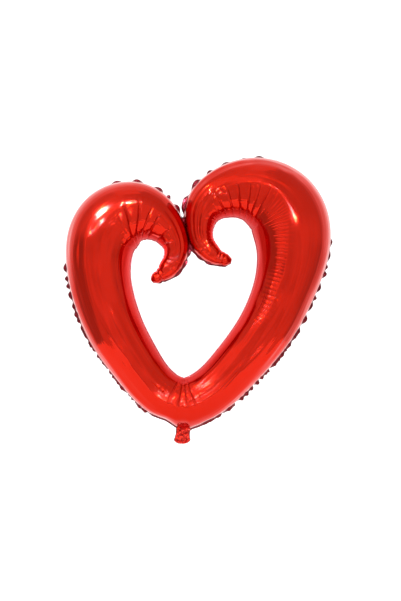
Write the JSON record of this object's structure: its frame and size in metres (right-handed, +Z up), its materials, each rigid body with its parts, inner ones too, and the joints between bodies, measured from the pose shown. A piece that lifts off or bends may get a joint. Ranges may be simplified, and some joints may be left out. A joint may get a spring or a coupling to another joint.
{
  "type": "heart-shaped foil balloon",
  "caption": "Inflated open heart foil balloon: a red metallic tube whose upper ends curl inwards as hooks, with a flat filling tail at its point.",
  "frame": {"origin": "middle of the fold line at the point of the heart, where the neck is tied", "axes": "+Z up the heart, front of the balloon towards -Y, +X to the right seen from the front"},
  "size_m": [0.8001, 0.2224, 0.8609],
  "materials": {
    "red_foil": "mirror-bright metallised red film with a fine crinkle",
    "clear_film": "clear polyethylene film",
    "print_ink": "matt heat-proof ink"
  },
  "bodies": {
    "envelope": {"front_foil_panel": "red_foil", "rear_foil_panel": "red_foil", "valve_front_film": "clear_film", "valve_rear_film": "clear_film", "valve_heat_proof_print": "print_ink"},
    "tail": {"tail_front_foil": "red_foil", "tail_rear_foil": "red_foil", "valve_mouth_front_film": "clear_film", "valve_mouth_rear_film": "clear_film"}
  },
  "joints": [
    {"name": "tail_flex", "type": "hinge", "parent": "envelope", "child": "tail", "pos_m": [0, 0, 0], "axis": [1, 0, 0], "range_deg": [-90, 90]}
  ]
}
